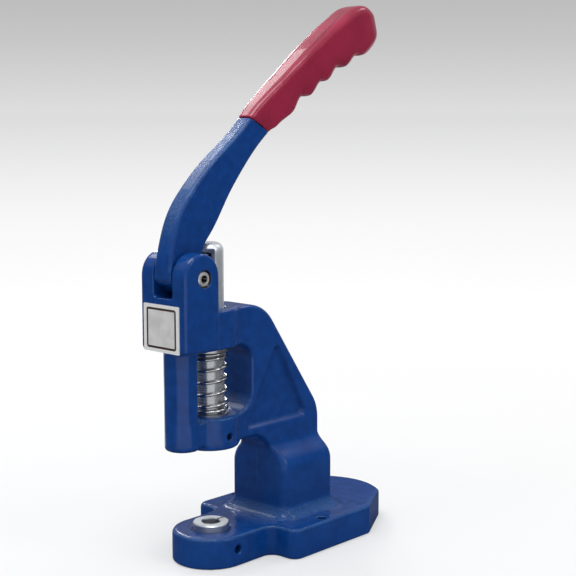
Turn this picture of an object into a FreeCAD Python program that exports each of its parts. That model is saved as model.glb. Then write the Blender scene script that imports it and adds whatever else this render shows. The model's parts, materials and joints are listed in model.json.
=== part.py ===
import FreeCAD, Part
import math
import os

# Hand eyelet press: a cast C-frame on a base, a hand lever on a fulcrum pin, a round ram with a
# return spring, and a split bushing that holds the lower die.
# Millimetres. The origin is on the base's underside, straight below the ram axis. +Z is up, the
# operator stands at -Y, the grip points to +Y, and the whole press is symmetric about X = 0.

# Base plate
base_thickness = 22.0
base_half_width = 50.0
base_top_round = 3.0
base_bottom_round = 1.0
lobe_radius = 27.3
lobe_neck_round = 7.0
wing_front_y = 33.0
wing_corner_round = 8.0
wing_corner_limit_share = 0.9
wing_back_y = 115.0
back_corner_half_width = 27.5
back_corner_y = 154.5
back_corner_round = 4.0
back_tip_y = 170.0
back_tip_round = 44.0
bolt_hole_radius = 3.3
bolt_hole_edge_distance = 7.0
bolt_hole_y = 69.0

# Column between base and arm
column_half_width = 27.0
column_front_y = 47.0
column_back_y = 100.8
column_corner_round = 6.0
column_foot_round = 10.0
column_square_top = 57.0
shoulder_top = 78.0
shoulder_sink = 0.5

# Arm of the C-frame, a web seen from the side
arm_half_width = 15.0
arm_back_y = 98.0
arm_underside = 84.0
arm_underside_round = 20.0
arm_top = 178.5
arm_slope_top_y = 39.8
arm_slope_bottom = 95.5
arm_bend_round = 30.0
arm_edge_round = 3.0
window_back_y = 27.0
window_round = 14.0
window_edge_round = 2.5
recess_depth = 3.5
recess_floor = 89.7
recess_front_y = 17.5
recess_back_y = 86.0
recess_tip_y = 52.8
recess_tip = 151.0
recess_round = 4.0
recess_front_bevel = 1.4
recess_back_bevel = 3.4
recess_floor_bevel = 3.2

# Head: two guide bosses, the front rib and the block with two ears
boss_radius = 20.0
boss_edge_round = 2.0
boss_blend_radius = 4.0
boss_flare_front_y = -25.0
boss_flare_inset = 0.5
upper_boss_lip = 3.0
lower_boss_bottom = 81.5
lower_boss_top = 104.0
block_bottom = 152.0
block_half_width = 22.0
block_front_y = -43.0
block_edge_round = 2.6
block_bottom_round = 3.0
ear_radius = 16.0
ear_top = 219.0
slot_half_width = 9.2
slot_floor = 189.0
rib_half_width = 12.5
rib_front_y = -38.5
rib_back_y = -23.0
rib_bottom = 83.0
rib_edge_round = 2.5

# Fulcrum
pivot_y = -24.8
pivot_z = 201.8
pin_radius = 5.0
pin_end_bevel = 0.5
pin_near_recess = 0.9
pin_thread_radius = 4.0
pin_thread_past_nut = 2.0
pin_socket_flats = 5.0
pin_socket_depth = 4.0
counterbore_radius = 5.7
counterbore_depth = 1.6
lock_nut_flats = 13.0
lock_nut_thickness = 5.0
plain_washer_radius = 8.0
plain_washer_thickness = 1.6
thrust_washer_radius = 9.5
thrust_washer_thickness = 0.8
pivot_bush_wall = 1.75

# Lever, whose outline is given in shares of its reach and rise from the pivot
lever_half_width = 8.0
lever_top_half_width = 6.6
lever_reach = 200.0
lever_rise = 190.0
lever_edge_round = 3.0
barrel_radius = 12.4
barrel_start_angle = 52.0
barrel_end_angle = 208.0
lever_front_shares = ((-0.0915, 0.0142), (-0.0910, 0.0595), (-0.0805, 0.1089), (-0.0570, 0.1874),
                      (-0.0255, 0.2500), (0.0205, 0.3084), (0.0960, 0.3853), (0.1865, 0.4579),
                      (0.2965, 0.5553))
lever_back_shares = ((0.3935, 0.4979), (0.3140, 0.4253), (0.2470, 0.3479), (0.1950, 0.2800),
                     (0.1470, 0.2058), (0.1145, 0.1589), (0.0860, 0.1247), (0.0650, 0.1011))
lever_nose_shares = (-0.0820, -0.0168)
pocket_axis_shares = ((0.0180, 0.1380), (0.2480, 0.4160))
pocket_low_half_width = 9.0
pocket_high_half_width = 4.0
pocket_round_share = 0.85
pocket_depth = 1.8

# Lever tail with its roller
tail_arm = 26.0
tail_angle = 20.0
lever_travel_angle = 40.0
tail_half_height = 4.0
prong_inner_x = 3.1
prong_outer_x = 5.7
roller_radius = 5.5
roller_half_width = 2.9
roller_pin_radius = 2.5
roller_bush_wall = 0.75

# Grip sleeve and the tang inside it: stations of (top, bottom) shares, and a half width each
grip_half_width = 12.0
grip_stations_shares = (
    ((0.2934, 0.5568), (0.3970, 0.4958), 0.62),
    ((0.3220, 0.5853), (0.4240, 0.5135), 0.65),
    ((0.3499, 0.6126), (0.4505, 0.5302), 0.68),
    ((0.3989, 0.6575), (0.5014, 0.5613), 0.74),
    ((0.4364, 0.6924), (0.5378, 0.5875), 0.79),
    ((0.4994, 0.7463), (0.5867, 0.6437), 0.83),
    ((0.5205, 0.7642), (0.6177, 0.6428), 0.86),
    ((0.5455, 0.7851), (0.6416, 0.6569), 0.89),
    ((0.6005, 0.8310), (0.6915, 0.7010), 0.91),
    ((0.6230, 0.8470), (0.7210, 0.7030), 0.93),
    ((0.6540, 0.8690), (0.7500, 0.7250), 0.94),
    ((0.6940, 0.9000), (0.7860, 0.7580), 0.95),
    ((0.7330, 0.9250), (0.8360, 0.7610), 0.97),
    ((0.7610, 0.9400), (0.8600, 0.7760), 0.98),
    ((0.8030, 0.9610), (0.8910, 0.8040), 1.00),
    ((0.8480, 0.9800), (0.9370, 0.8080), 1.00),
    ((0.8980, 0.9920), (0.9740, 0.8220), 0.98),
    ((0.9320, 0.9950), (0.9900, 0.8500), 0.90),
    ((0.9600, 0.9880), (0.9980, 0.8800), 0.72),
    ((0.9780, 0.9740), (1.0010, 0.9080), 0.46),
)
grip_corner_share = 0.5
grip_seam = 0.2
tang_half_width = 5.0
tang_half_height = 5.0
tang_line_shares = ((0.3300, 0.5150), (0.5600, 0.6980), (0.8000, 0.8500))

# Ram
ram_radius = 10.0
ram_bottom = 81.0
ram_top = 223.5
ram_top_round = 6.2
ram_end_bevel = 0.6
ram_notch_back_y = -3.4
ram_notch_bottom = 202.0
ram_notch_top = 219.4
ram_slot_half_width = 6.0
keyway_half_width = 2.1
keyway_floor_x = 8.0
keyway_bottom = 84.0
keyway_length = 30.0
die_thread_radius = 2.5
die_thread_depth = 16.0
ring_groove_depth = 0.9
guide_bush_radius = 12.5
guide_bush_inset = 0.4

# Return spring with its collar, ring and seat
spring_wire = 2.2
spring_mean_radius = 11.65
spring_end_pitch = 2.75
spring_top = 148.2
spring_start_angle = -178.0
spring_quarter_turns = 26
spring_closed_quarters = 4
spring_blend_quarters = 2
spring_end_clearance = 0.15
collar_radius = 12.9
collar_thickness = 2.2
ring_radius = 11.6
ring_thickness = 1.1
ring_gap = 3.0
seat_washer_thickness = 0.9

# Screws and the lower die bushing
guide_screw_radius = 2.5
guide_screw_z = 90.1
guide_screw_dog_radius = 1.85
guide_screw_head_x = 16.5
guide_screw_shoulder_x = 12.9
guide_socket_flats = 2.5
clamp_screw_radius = 3.0
clamp_screw_z = 12.0
clamp_screw_head_x = 21.0
clamp_socket_flats = 3.0
socket_depth = 2.5
die_bushing_radius = 12.85
die_bushing_top = 26.5
die_bushing_floor = 5.0
die_bore_radius = 6.35
die_bushing_bevel = 0.7
die_bore_bevel = 0.6
die_slit_width = 1.6

# Plate on the block's front
plate_half_width = 17.3
plate_centre_x = -0.9
plate_height = 32.0
plate_thickness = 0.6
plate_corner_round = 0.8
plate_lift = 0.6

# Clearances
running_clearance = 0.04
bolt_clearance = 0.05
side_clearance = 0.2
roller_clearance = 0.3
slot_end_clearance = 0.5
dog_clearance = 0.3
bushing_clearance = 0.1
collar_clearance = 0.05
ram_relief = 0.5
tang_clearance = 0.1
overrun = 5.0
same_place = 0.001

block_back_y = block_front_y + 2 * ear_radius
bolt_hole_half_spacing = base_half_width - bolt_hole_edge_distance
tail_rise = tail_arm * math.sin(math.radians(tail_angle))
roller_y = pivot_y + tail_arm * math.cos(math.radians(tail_angle))
roller_z = pivot_z + tail_rise
ram_stroke = 2 * tail_rise
spring_bottom = lower_boss_top + seat_washer_thickness


def vec(x, y, z):
    return FreeCAD.Vector(x, y, z)


def flat(z):
    return lambda u, v: vec(u, v, z)


def side(x):
    return lambda u, v: vec(x, u, v)


def lever_point(share_pair):
    return (pivot_y + share_pair[0] * lever_reach, pivot_z + share_pair[1] * lever_rise)


def line(start, end):
    return Part.LineSegment(start, end).toShape()


def arc(start, middle, end):
    return Part.Arc(start, middle, end).toShape()


def step_towards(corner, other, distance):
    length = math.hypot(other[0] - corner[0], other[1] - corner[1])
    return (corner[0] + (other[0] - corner[0]) * distance / length,
            corner[1] + (other[1] - corner[1]) * distance / length)


def half_angle(corner, before, after):
    first = math.atan2(before[1] - corner[1], before[0] - corner[0])
    second = math.atan2(after[1] - corner[1], after[0] - corner[0])
    turn = abs(first - second) % (2 * math.pi)
    return min(turn, 2 * math.pi - turn) / 2


def rounded_wire(corners, place):
    # corners are (u, v, radius); a radius of zero leaves the corner sharp
    parts = []
    for index, (u, v, radius) in enumerate(corners):
        before = corners[index - 1][:2]
        after = corners[(index + 1) % len(corners)][:2]
        if radius == 0:
            parts.append(((u, v), None, (u, v)))
            continue
        half = half_angle((u, v), before, after)
        reach = radius / math.tan(half)
        start = step_towards((u, v), before, reach)
        end = step_towards((u, v), after, reach)
        chord_middle = ((start[0] + end[0]) / 2, (start[1] + end[1]) / 2)
        middle = step_towards((u, v), chord_middle, radius / math.sin(half) - radius)
        parts.append((start, middle, end))
    edges = []
    for index, (start, middle, end) in enumerate(parts):
        if middle is not None:
            edges.append(arc(place(*start), place(*middle), place(*end)))
        following = parts[(index + 1) % len(parts)][0]
        if place(*end).distanceToPoint(place(*following)) > same_place:
            edges.append(line(place(*end), place(*following)))
    return Part.Wire(edges)


def prism(wire, direction):
    return Part.Face(wire).extrude(direction)


def across(corners, half_width):
    # a side outline pulled through from -X to +X
    return prism(rounded_wire(corners, side(-half_width)), vec(2 * half_width, 0, 0))


def box(x0, x1, y0, y1, z0, z1):
    return Part.makeBox(x1 - x0, y1 - y0, z1 - z0, vec(x0, y0, z0))


def upright(radius, z0, z1, x=0, y=0):
    return Part.makeCylinder(radius, z1 - z0, vec(x, y, z0), vec(0, 0, 1))


def crosswise(radius, x0, x1, y, z):
    return Part.makeCylinder(radius, x1 - x0, vec(x0, y, z), vec(1, 0, 0))


def hexagon(flats, x0, x1, y, z):
    corner = flats / math.sqrt(3)
    points = [(y + corner * math.cos(math.radians(60 * k)), z + corner * math.sin(math.radians(60 * k)), 0)
              for k in range(6)]
    return prism(rounded_wire(points, side(x0)), vec(x1 - x0, 0, 0))


def edges_where(shape, test):
    return [edge for edge in shape.Edges if test(edge.BoundBox)]


def lies_at_x(bounds, x):
    return abs(bounds.XMin - x) + abs(bounds.XMax - x) < same_place


def lies_at_z(bounds, z):
    return abs(bounds.ZMin - z) + abs(bounds.ZMax - z) < same_place


def mirrored(corners):
    return [(-u, v, radius) for u, v, radius in reversed(corners)]


# Base plate with the lobe that carries the lower die
def make_base():
    corner_room = base_half_width - lobe_radius - lobe_neck_round
    wing_corner = min(wing_corner_round, wing_corner_limit_share * corner_room)
    right = [(lobe_radius, -lobe_radius, lobe_radius),
             (lobe_radius, wing_front_y, lobe_neck_round),
             (base_half_width, wing_front_y, wing_corner),
             (base_half_width, wing_back_y, back_corner_round),
             (back_corner_half_width, back_corner_y, back_corner_round)]
    tip = [(0, back_tip_y, back_tip_round)]
    base = prism(rounded_wire(right + tip + mirrored(right), flat(0)), vec(0, 0, base_thickness))
    base = base.makeFillet(base_top_round, edges_where(base, lambda b: lies_at_z(b, base_thickness)))
    return base.makeFillet(base_bottom_round, edges_where(base, lambda b: lies_at_z(b, 0)))


def column_corners(half_width, front, back, radius):
    return [(half_width, front, radius), (half_width, back, radius),
            (-half_width, back, radius), (-half_width, front, radius)]


# Column foot on the base, with the cast fillet all round
def make_pedestal():
    corners = column_corners(column_half_width, column_front_y, column_back_y, column_corner_round)
    middle = base_thickness / 2
    column = prism(rounded_wire(corners, flat(middle)), vec(0, 0, column_square_top - middle))
    joined = make_base().fuse(column).removeSplitter()

    def at_foot(bounds):
        across_foot = bounds.XMax < column_half_width + same_place
        behind_front = bounds.YMin > column_front_y - same_place
        return across_foot and behind_front and bounds.YMax < column_back_y + same_place

    top_edges = edges_where(joined, lambda b: lies_at_z(b, base_thickness) and at_foot(b))
    return joined.makeFillet(column_foot_round, top_edges)


# Shoulder that draws the square column in to the narrower arm
def make_shoulder():
    rise_shares = (0.0, 0.05, 0.22, 0.40, 0.58, 0.78, 1.0)
    width_shares = (1.0, 1.0, 0.93, 0.76, 0.46, 0.16, 0.0)
    wires = []
    for rise, width in zip(rise_shares, width_shares):
        z = column_square_top + rise * (shoulder_top - column_square_top)
        sink = (1 - width) * shoulder_sink
        half = arm_half_width + width * (column_half_width - arm_half_width) - sink
        back = arm_back_y + width * (column_back_y - arm_back_y) - sink
        drop = max(0, z - (arm_underside - arm_underside_round))
        bend = math.sqrt(arm_underside_round ** 2 - drop ** 2)
        front = column_front_y - arm_underside_round + bend + sink
        radius = arm_edge_round + width * (column_corner_round - arm_edge_round)
        wires.append(rounded_wire(column_corners(half, front, back, radius), flat(z)))
    return Part.makeLoft(wires, True, False)


# Arm of the C-frame from the column to the head
def make_arm():
    hidden = base_thickness + column_foot_round
    outline = [(0, arm_underside, 0),
               (column_front_y, arm_underside, arm_underside_round),
               (column_front_y, hidden, 0),
               (arm_back_y, hidden, 0),
               (arm_back_y, arm_slope_bottom, arm_bend_round),
               (arm_slope_top_y, arm_top, arm_bend_round),
               (0, arm_top, 0)]
    arm = across(outline, arm_half_width)

    def outer_edge(bounds):
        on_side = lies_at_x(bounds, arm_half_width) or lies_at_x(bounds, -arm_half_width)
        return on_side and bounds.YMax > same_place and bounds.ZMax > hidden + same_place

    arm = arm.makeFillet(arm_edge_round, edges_where(arm, outer_edge))
    window = [(-overrun, lower_boss_top, 0), (window_back_y, lower_boss_top, window_round),
              (window_back_y, block_bottom, window_round), (-overrun, block_bottom, 0)]
    arm = arm.cut(across(window, arm_half_width + overrun))

    def window_edge(bounds):
        on_side = lies_at_x(bounds, arm_half_width) or lies_at_x(bounds, -arm_half_width)
        inside = -same_place < bounds.YMin and bounds.YMax < window_back_y + same_place
        above = bounds.ZMin > lower_boss_top - same_place
        return on_side and inside and above and bounds.ZMax < block_bottom + same_place

    arm = arm.makeFillet(window_edge_round, edges_where(arm, window_edge))
    return arm.cut(make_recess(1)).cut(make_recess(-1))


def shifted_line(start, end, distance):
    length = math.hypot(end[0] - start[0], end[1] - start[1])
    normal = (-(end[1] - start[1]) / length, (end[0] - start[0]) / length)
    return ((start[0] + normal[0] * distance, start[1] + normal[1] * distance),
            (end[0] + normal[0] * distance, end[1] + normal[1] * distance))


def crossing(first, second):
    (x1, y1), (x2, y2) = first
    (x3, y3), (x4, y4) = second
    base = (x1 - x2) * (y3 - y4) - (y1 - y2) * (x3 - x4)
    one = x1 * y2 - y1 * x2
    two = x3 * y4 - y3 * x4
    return ((one * (x3 - x4) - (x1 - x2) * two) / base, (one * (y3 - y4) - (y1 - y2) * two) / base)


# Three-cornered recess in the arm's side, with bevelled walls
def make_recess(sign):
    rim = [(recess_front_y, recess_floor), (recess_back_y, recess_floor), (recess_tip_y, recess_tip)]
    floor_side = shifted_line(rim[0], rim[1], recess_floor_bevel)
    back_side = shifted_line(rim[1], rim[2], recess_back_bevel)
    front_side = shifted_line(rim[2], rim[0], recess_front_bevel)
    bed = [crossing(front_side, floor_side), crossing(floor_side, back_side),
           crossing(back_side, front_side)]
    rim_x = sign * arm_half_width
    bed_x = sign * (arm_half_width - recess_depth)
    outer = rounded_wire([(u, v, recess_round) for u, v in rim], side(rim_x))
    inner = rounded_wire([(u, v, recess_round - recess_front_bevel) for u, v in bed], side(bed_x))
    return Part.makeLoft([outer, inner], True, True)


# Head of the frame: guide bosses, front rib and eared block
def make_head():
    lower_boss = upright(boss_radius, lower_boss_bottom, lower_boss_top)
    lower_boss = lower_boss.makeFillet(boss_edge_round, edges_where(
        lower_boss, lambda b: lies_at_z(b, lower_boss_bottom) or lies_at_z(b, lower_boss_top)))
    rib_corners = [(rib_half_width, rib_front_y, rib_half_width), (rib_half_width, rib_back_y, 0),
                   (-rib_half_width, rib_back_y, 0), (-rib_half_width, rib_front_y, rib_half_width)]
    rib = prism(rounded_wire(rib_corners, flat(rib_bottom)), vec(0, 0, block_bottom + overrun - rib_bottom))
    rib = rib.makeFillet(rib_edge_round, edges_where(rib, lambda b: lies_at_z(b, rib_bottom)))
    rib_foot = box(-rib_half_width, rib_half_width, rib_back_y - rib_half_width / 2, -guide_bush_radius,
                   rib_bottom + rib_edge_round, lower_boss_top - boss_edge_round)
    block = across([(block_front_y, block_bottom, 0), (block_back_y, block_bottom, 0),
                    (block_back_y, ear_top, ear_radius),
                    (block_front_y, ear_top, ear_radius)], block_half_width)

    def block_side(bounds):
        on_side = lies_at_x(bounds, block_half_width) or lies_at_x(bounds, -block_half_width)
        return on_side and bounds.ZMax > block_bottom + same_place

    def block_foot(bounds):
        return bounds.YMax - bounds.YMin > ear_radius and lies_at_z(bounds, block_bottom)

    block = block.makeFillet(block_bottom_round, edges_where(block, block_foot))
    block = block.makeFillet(block_edge_round, edges_where(block, block_side))
    slot = box(-slot_half_width, slot_half_width, block_front_y - overrun, block_back_y + overrun,
               slot_floor, ear_top + overrun)
    blends = [make_boss_blend(sign, z0, z1)
              for sign in (1, -1)
              for z0, z1 in ((arm_underside, lower_boss_top - boss_edge_round),
                             (block_bottom, arm_top - arm_edge_round))]
    return make_upper_boss().fuse([lower_boss, rib, rib_foot, block] + blends).cut(slot)


# Upper guide boss, whose sides run forward into the block's
def make_upper_boss():
    front_x = block_half_width - boss_flare_inset
    reach = math.hypot(front_x, boss_flare_front_y)
    turn = math.atan2(boss_flare_front_y, front_x) + math.acos(boss_radius / reach)
    touch_x = boss_radius * math.cos(turn)
    touch_y = boss_radius * math.sin(turn)
    place = flat(block_bottom)
    edges = [line(place(front_x, boss_flare_front_y), place(touch_x, touch_y)),
             arc(place(touch_x, touch_y), place(0, boss_radius), place(-touch_x, touch_y)),
             line(place(-touch_x, touch_y), place(-front_x, boss_flare_front_y)),
             line(place(-front_x, boss_flare_front_y), place(front_x, boss_flare_front_y))]
    boss = prism(Part.Wire(edges), vec(0, 0, arm_top - block_bottom))
    return boss.makeFillet(boss_edge_round, edges_where(boss, lambda b: lies_at_z(b, arm_top)))


# Hollow corner between a guide boss and the arm's side
def make_boss_blend(sign, z0, z1):
    centre_x = arm_half_width + boss_blend_radius
    reach = boss_radius + boss_blend_radius
    centre_y = math.sqrt(reach ** 2 - centre_x ** 2)
    on_boss = (centre_x * boss_radius / reach, centre_y * boss_radius / reach)
    on_arm = (arm_half_width, centre_y)
    mean = ((on_boss[0] + on_arm[0]) / 2, (on_boss[1] + on_arm[1]) / 2)
    hollow = step_towards((centre_x, centre_y), mean, boss_blend_radius)

    def place(point):
        return vec(sign * point[0], point[1], z0)

    inner = (arm_half_width - boss_blend_radius / 2, on_boss[1] - boss_blend_radius / 2)
    edges = [arc(place(on_boss), place(hollow), place(on_arm)),
             line(place(on_arm), place((inner[0], on_arm[1]))),
             line(place((inner[0], on_arm[1])), place(inner)),
             line(place(inner), place(on_boss))]
    return prism(Part.Wire(edges), vec(0, 0, z1 - z0))


def make_frame_casting():
    frame = make_pedestal().fuse([make_shoulder(), make_arm(), make_head()]).removeSplitter()
    near = block_half_width
    cuts = [
        upright(guide_bush_radius, block_bottom - overrun, arm_top - upper_boss_lip),
        upright(guide_bush_radius, lower_boss_bottom - overrun, lower_boss_top + overrun),
        upright(ram_radius + ram_relief, block_bottom, ear_top + overrun),
        upright(bolt_hole_radius, -overrun, base_thickness + overrun, bolt_hole_half_spacing, bolt_hole_y),
        upright(bolt_hole_radius, -overrun, base_thickness + overrun, -bolt_hole_half_spacing, bolt_hole_y),
        upright(die_bushing_radius + bushing_clearance, die_bushing_floor, base_thickness + overrun),
        crosswise(clamp_screw_radius, 0, lobe_radius + overrun, 0, clamp_screw_z),
        crosswise(guide_screw_radius, 0, boss_radius + overrun, 0, guide_screw_z),
        crosswise(pin_radius + bolt_clearance, 0, near + overrun, pivot_y, pivot_z),
        crosswise(counterbore_radius, near - counterbore_depth, near + overrun, pivot_y, pivot_z),
        crosswise(pin_thread_radius + bolt_clearance, -near - overrun, 0, pivot_y, pivot_z),
    ]
    return frame.cut(cuts)


# Half of the lever's width at a height: the sides draw in evenly from the pivot to the grip
def lever_half_at(z):
    rise = lever_point(lever_front_shares[-1])[1] - pivot_z
    return lever_half_width - (lever_half_width - lever_top_half_width) * (z - pivot_z) / rise


# Lever: blade, barrel round the pivot, and a forked tail for the roller
def make_lever_blade():
    front = [lever_point(pair) for pair in lever_front_shares]
    back = [lever_point(pair) for pair in lever_back_shares]
    half_width = lever_half_width + overrun
    place = side(-half_width)

    def on_barrel(angle):
        turn = math.radians(angle)
        return (pivot_y + barrel_radius * math.cos(turn), pivot_z + barrel_radius * math.sin(turn))

    front_curve = Part.BSplineCurve()
    front_curve.interpolate([place(*point) for point in front])
    back_curve = Part.BSplineCurve()
    back_curve.interpolate([place(*point) for point in back])
    edges = [front_curve.toShape(),
             line(place(*front[-1]), place(*back[0])),
             back_curve.toShape(),
             line(place(*back[-1]), place(*on_barrel(barrel_start_angle))),
             arc(place(*on_barrel(barrel_start_angle)), place(*on_barrel(-90)),
                 place(*on_barrel(barrel_end_angle))),
             arc(place(*on_barrel(barrel_end_angle)), place(*lever_point(lever_nose_shares)),
                 place(*front[0]))]
    blade = prism(Part.Wire(edges), vec(2 * half_width, 0, 0)).common(make_lever_taper())

    def long_edge(bounds):
        on_side = bounds.XMin > lever_top_half_width / 2 or bounds.XMax < -lever_top_half_width / 2
        return on_side and bounds.ZMax > ear_top and bounds.YMax - bounds.YMin > lever_reach / 4

    blade = blade.makeFillet(lever_edge_round, edges_where(blade, long_edge))
    return blade.cut([make_lever_pocket(1), make_lever_pocket(-1)])


# Front view of the lever pulled through from front to back
def make_lever_taper():
    bottom = pivot_z - 2 * barrel_radius
    top = pivot_z + lever_rise
    right = [(lever_half_at(bottom), bottom, 0), (lever_half_at(top), top, 0)]
    front_y = pivot_y - lever_reach

    def place(u, v):
        return vec(u, front_y, v)

    return prism(rounded_wire(right + mirrored(right), place), vec(0, 2 * lever_reach, 0))


# Pocket in the blade's side, round and deep at its lower end and running out towards the grip
def make_lever_pocket(sign):
    low, high = [lever_point(pair) for pair in pocket_axis_shares]
    length = math.hypot(high[0] - low[0], high[1] - low[1])
    along = ((high[0] - low[0]) / length, (high[1] - low[1]) / length)
    corners = []
    for end, half, hand in ((low, pocket_low_half_width, 1), (low, pocket_low_half_width, -1),
                            (high, pocket_high_half_width, -1), (high, pocket_high_half_width, 1)):
        corners.append((end[0] - hand * along[1] * half, end[1] + hand * along[0] * half,
                        half * pocket_round_share))
    high_half = lever_half_at(high[1])
    tool = prism(rounded_wire(corners, side(sign * high_half)), vec(sign * overrun, 0, 0))
    tilt = math.degrees(math.atan((high_half - lever_half_at(low[1]) + pocket_depth) / length))
    return tool.rotate(side(sign * high_half)(*high), vec(0, -along[1], along[0]), sign * tilt)


def tail_outline(half_height, reach_back):
    turn = math.radians(tail_angle)
    along = (math.cos(turn), math.sin(turn))
    up = (-along[1], along[0])
    start = (roller_y - along[0] * reach_back, roller_z - along[1] * reach_back)
    end = (roller_y + along[0] * half_height, roller_z + along[1] * half_height)
    return [(start[0] + up[0] * half_height, start[1] + up[1] * half_height, 0),
            (start[0] - up[0] * half_height, start[1] - up[1] * half_height, 0),
            (end[0] - up[0] * half_height, end[1] - up[1] * half_height, half_height),
            (end[0] + up[0] * half_height, end[1] + up[1] * half_height, half_height)]


def make_tang(extra):
    line_points = [lever_point(pair) for pair in tang_line_shares]
    half_height = tang_half_height + extra
    half_width = tang_half_width + extra
    upper = []
    lower = []
    for index, point in enumerate(line_points):
        before = line_points[max(index - 1, 0)]
        after = line_points[min(index + 1, len(line_points) - 1)]
        length = math.hypot(after[0] - before[0], after[1] - before[1])
        up = (-(after[1] - before[1]) / length, (after[0] - before[0]) / length)
        upper.append((point[0] + up[0] * half_height, point[1] + up[1] * half_height, 0))
        lower.append((point[0] - up[0] * half_height, point[1] - up[1] * half_height, 0))
    return across(upper + lower[::-1], half_width)


def make_lever_arm():
    prongs = tail_outline(tail_half_height, tail_arm - barrel_radius / 2)
    tail = [prism(rounded_wire(prongs, side(x)), vec(prong_outer_x - prong_inner_x, 0, 0))
            for x in (prong_inner_x, -prong_outer_x)]
    lever = make_lever_blade().fuse(tail + [make_tang(0)]).removeSplitter()
    bush_radius = pin_radius + running_clearance + pivot_bush_wall
    bore = crosswise(bush_radius, -lever_half_width - overrun, lever_half_width + overrun,
                     pivot_y, pivot_z)
    pin_hole = crosswise(roller_pin_radius, -prong_outer_x - overrun, prong_outer_x + overrun,
                         roller_y, roller_z)
    return lever.cut([bore, pin_hole])


def grip_section(top_share, bottom_share, width_share):
    top = lever_point(top_share)
    bottom = lever_point(bottom_share)
    height = math.hypot(top[0] - bottom[0], top[1] - bottom[1])
    up = ((top[0] - bottom[0]) / height, (top[1] - bottom[1]) / height)
    half = grip_half_width * width_share
    radius = grip_corner_share * min(half, height / 2)

    def place(u, v):
        return vec(u, bottom[0] + up[0] * v, bottom[1] + up[1] * v)

    corners = [(-half, 0, radius), (half, 0, radius), (half, height, radius), (-half, height, radius)]
    return rounded_wire(corners, place)


def make_handle_grip():
    sections = [grip_section(*station) for station in grip_stations_shares]
    grip = Part.makeLoft(sections, True, False)
    top, bottom = [lever_point(share) for share in grip_stations_shares[0][:2]]
    height = math.hypot(top[0] - bottom[0], top[1] - bottom[1])
    grip.translate(vec(0, top[1] - bottom[1], bottom[0] - top[0]) * (grip_seam / height))
    return grip.cut(make_tang(tang_clearance))


# Pieces on the fulcrum
def make_fulcrum_pin():
    near_end = block_half_width - pin_near_recess
    far_end = -block_half_width - plain_washer_thickness - lock_nut_thickness - pin_thread_past_nut
    body = crosswise(pin_radius, -slot_half_width, near_end - pin_end_bevel, pivot_y, pivot_z)
    rim = Part.makeCone(pin_radius, pin_radius - pin_end_bevel, pin_end_bevel,
                        vec(near_end - pin_end_bevel, pivot_y, pivot_z), vec(1, 0, 0))
    thread = crosswise(pin_thread_radius, far_end, -slot_half_width, pivot_y, pivot_z)
    socket = hexagon(pin_socket_flats, near_end - pin_socket_depth, near_end + overrun, pivot_y, pivot_z)
    return body.fuse([rim, thread]).removeSplitter().cut(socket)


def crosswise_ring(inner, outer, x0, x1, y, z):
    return crosswise(outer, x0, x1, y, z).cut(crosswise(inner, x0 - overrun, x1 + overrun, y, z))


def upright_ring(inner, outer, z0, z1):
    return upright(outer, z0, z1).cut(upright(inner, z0 - overrun, z1 + overrun))


def make_fulcrum_washer():
    outer_face = -block_half_width
    return crosswise_ring(pin_thread_radius + bolt_clearance, plain_washer_radius,
                          outer_face - plain_washer_thickness, outer_face, pivot_y, pivot_z)


def make_fulcrum_lock_nut():
    inner_face = -block_half_width - plain_washer_thickness
    nut = hexagon(lock_nut_flats, inner_face - lock_nut_thickness, inner_face, pivot_y, pivot_z)
    return nut.cut(crosswise(pin_thread_radius, inner_face - lock_nut_thickness - overrun,
                             inner_face + overrun, pivot_y, pivot_z))


def make_thrust_washers():
    near = lever_half_width + side_clearance
    rings = []
    for x in (near, -near - thrust_washer_thickness):
        rings.append(crosswise_ring(pin_radius + bolt_clearance, thrust_washer_radius,
                                    x, x + thrust_washer_thickness, pivot_y, pivot_z))
    return Part.makeCompound(rings)


def make_lever_pivot_bush():
    inner = pin_radius + running_clearance
    return crosswise_ring(inner, inner + pivot_bush_wall, -lever_half_width, lever_half_width,
                          pivot_y, pivot_z)


# Roller at the lever's tail
def make_roller_pin():
    return crosswise(roller_pin_radius, -prong_outer_x, prong_outer_x, roller_y, roller_z)


def make_roller_bush():
    inner = roller_pin_radius + running_clearance
    return crosswise_ring(inner, inner + roller_bush_wall, -roller_half_width, roller_half_width,
                          roller_y, roller_z)


def make_roller():
    inner = roller_pin_radius + running_clearance + roller_bush_wall
    return crosswise_ring(inner, roller_radius, -roller_half_width, roller_half_width,
                          roller_y, roller_z)


# Ram with the roller notch, keyway, ring groove and die thread
def make_ram():
    shank = upright(ram_radius, ram_bottom + ram_end_bevel, ram_top)
    shank = shank.makeFillet(ram_top_round, edges_where(shank, lambda b: lies_at_z(b, ram_top)))
    foot = Part.makeCone(ram_radius - ram_end_bevel, ram_radius, ram_end_bevel,
                         vec(0, 0, ram_bottom), vec(0, 0, 1))
    ram = shank.fuse(foot).removeSplitter()
    swing_y = pivot_y + tail_arm
    slot_half_height = roller_radius + roller_clearance
    ring_bottom = spring_top + collar_thickness
    cuts = [
        box(-ram_radius - overrun, ram_radius + overrun, -ram_radius - overrun, ram_notch_back_y,
            ram_notch_bottom, ram_notch_top),
        box(-ram_slot_half_width, ram_slot_half_width, -ram_radius - overrun,
            swing_y + roller_radius + slot_end_clearance,
            roller_z - slot_half_height, roller_z + slot_half_height),
        box(keyway_floor_x, ram_radius + overrun, -keyway_half_width, keyway_half_width,
            keyway_bottom, keyway_bottom + keyway_length),
        upright(die_thread_radius, ram_bottom - overrun, ram_bottom + die_thread_depth),
        upright_ring(ram_radius - ring_groove_depth, ram_radius + overrun, ring_bottom,
                     ring_bottom + ring_thickness),
    ]
    return ram.cut(cuts)


def make_upper_ram_bush():
    return upright_ring(ram_radius + running_clearance, guide_bush_radius,
                        block_bottom + guide_bush_inset, arm_top - upper_boss_lip)


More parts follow.
